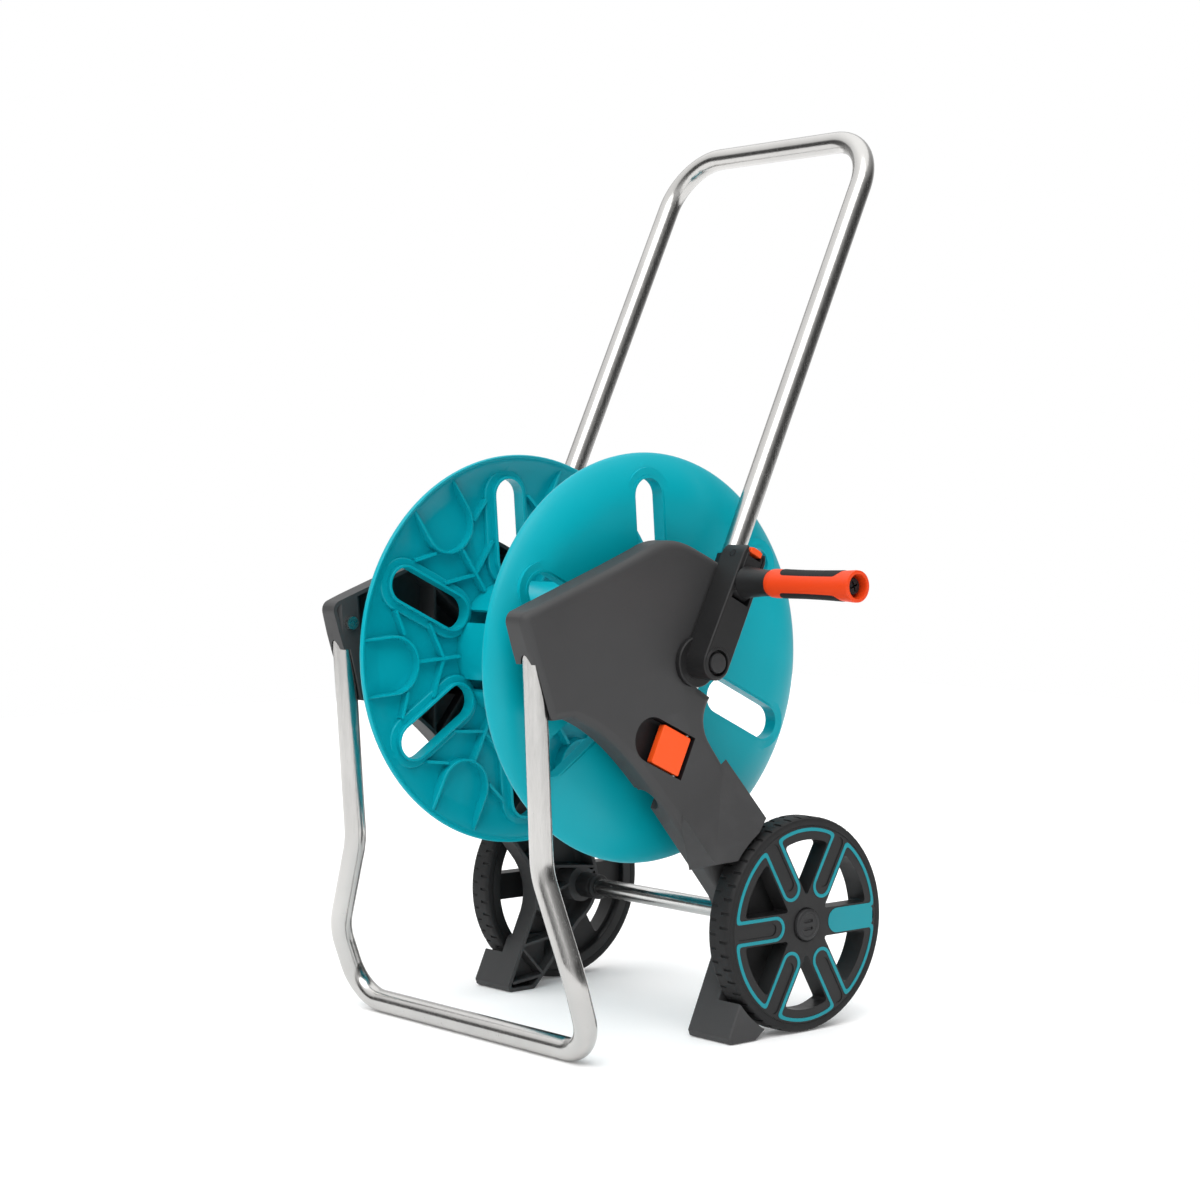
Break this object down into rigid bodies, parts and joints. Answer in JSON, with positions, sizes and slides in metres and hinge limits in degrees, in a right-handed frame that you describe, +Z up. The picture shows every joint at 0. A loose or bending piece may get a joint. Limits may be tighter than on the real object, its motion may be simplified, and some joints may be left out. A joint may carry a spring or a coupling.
{
  "type": "garden hose reel cart",
  "caption": "Wheeled garden hose reel cart: a slotted drum with a folding crank between two side panels, on two wheels, feet and a bent steel stand, with a tubular push handle.",
  "frame": {"origin": "on the ground, under the middle of the outer box", "axes": "+X out of the crank side, -Y the front with the steel stand, +Z up; wheels and push handle at the back (+Y)"},
  "size_m": [0.501, 0.4416, 0.8114],
  "materials": {
    "teal_plastic": "smooth injection moulded polypropylene, satin gloss",
    "grey_plastic": "fine spark texture, matt",
    "black_plastic": "moulded, semi-matt",
    "orange_plastic": "moulded, satin",
    "black_rubber": "soft moulded insets and seals",
    "soft_tyre": "soft tread with small lugs",
    "bright_steel_tube": "bright plated steel tube",
    "plated_steel": "zinc plated"
  },
  "bodies": {
    "frame": {"side_panel_right": "grey_plastic", "side_panel_left": "grey_plastic", "drum_bearing_right": "black_plastic", "drum_bearing_left": "black_plastic", "stand_tube": "bright_steel_tube", "stand_screw_right": "plated_steel", "stand_screw_left": "plated_steel", "axle_tube": "plated_steel", "axle_sleeve_right": "black_plastic", "axle_sleeve_left": "black_plastic", "axle_clip_right": "plated_steel", "axle_clip_left": "plated_steel", "handle_bush_right": "black_plastic", "handle_bush_left": "black_plastic", "latch_pin_right": "plated_steel", "latch_pin_left": "plated_steel"},
    "drum": {"drum_flange_right": "teal_plastic", "drum_flange_left": "teal_plastic", "drum_core": "teal_plastic", "flange_screw_right_1": "plated_steel", "flange_screw_right_2": "plated_steel", "flange_screw_right_3": "plated_steel", "flange_screw_left_1": "plated_steel", "flange_screw_left_2": "plated_steel", "flange_screw_left_3": "plated_steel", "crank_shaft": "black_plastic", "water_shaft": "black_plastic", "outlet_nipple": "black_plastic", "crank_arm": "black_plastic", "fold_pin": "plated_steel", "crank_screw": "plated_steel", "crank_cap": "grey_plastic"},
    "grip_arm": {"grip_knuckle": "black_plastic", "grip_spindle": "plated_steel", "grip_screw": "plated_steel"},
    "fold_lock_button": {"fold_lock": "orange_plastic"},
    "grip": {"grip_sleeve": "orange_plastic", "grip_pad_top": "black_rubber", "grip_pad_bottom": "black_rubber"},
    "wheel_right_body": {"wheel_right": "black_plastic", "tyre_right": "soft_tyre", "wheel_inlay_right": "teal_plastic", "hub_cap_right": "grey_plastic"},
    "wheel_left_body": {"wheel_left": "black_plastic", "tyre_left": "soft_tyre", "wheel_inlay_left": "teal_plastic", "hub_cap_left": "grey_plastic"},
    "handle": {"handle_tube": "bright_steel_tube", "handle_plug_right": "black_plastic", "handle_plug_left": "black_plastic"},
    "latch_right": {"latch_lever_right": "orange_plastic"},
    "latch_left": {"latch_lever_left": "orange_plastic"},
    "inlet": {"inlet_housing": "black_plastic", "inlet_seal_inner": "black_rubber", "inlet_seal_outer": "black_rubber"}
  },
  "joints": [
    {"name": "drum_spin", "type": "hinge", "parent": "frame", "child": "drum", "pos_m": [-0.0655, -0.03476, 0.33], "axis": [1, 0, 0], "continuous": true},
    {"name": "grip_fold", "type": "hinge", "parent": "drum", "child": "grip_arm", "pos_m": [0.1015, 0.00837, 0.41688], "axis": [0, -0.8957, 0.4446], "range_deg": [0, 90]},
    {"name": "fold_lock_press", "type": "slide", "parent": "grip_arm", "child": "fold_lock_button", "axis": [0, -0.4446, -0.8957], "range_m": [0, 0.0025], "stiffness_N_per_m": 600},
    {"name": "grip_spin", "type": "hinge", "parent": "grip_arm", "child": "grip", "pos_m": [0.1945, -0.00096, 0.39807], "axis": [1, 0, 0], "continuous": true},
    {"name": "wheel_right_spin", "type": "hinge", "parent": "frame", "child": "wheel_right_body", "pos_m": [0.1025, 0.07274, 0.095], "axis": [1, 0, 0], "continuous": true},
    {"name": "wheel_left_spin", "type": "hinge", "parent": "frame", "child": "wheel_left_body", "pos_m": [-0.2335, 0.07274, 0.095], "axis": [1, 0, 0], "continuous": true},
    {"name": "handle_slide", "type": "slide", "parent": "frame", "child": "handle", "axis": [0, -0.4299, -0.9029], "range_m": [0, 0.15]},
    {"name": "latch_right_press", "type": "hinge", "parent": "frame", "child": "latch_right", "pos_m": [0.0811, -0.04687, 0.24869], "axis": [0, -0.4299, -0.9029], "range_deg": [0, 3.5], "stiffness_Nm_per_rad": 1},
    {"name": "latch_left_press", "type": "hinge", "parent": "frame", "child": "latch_left", "pos_m": [-0.2121, -0.04687, 0.24869], "axis": [0, 0.4299, 0.9029], "range_deg": [0, 3.5], "stiffness_Nm_per_rad": 1},
    {"name": "inlet_swivel", "type": "hinge", "parent": "frame", "child": "inlet", "pos_m": [-0.2335, -0.03476, 0.33], "axis": [1, 0, 0], "continuous": true}
  ]
}
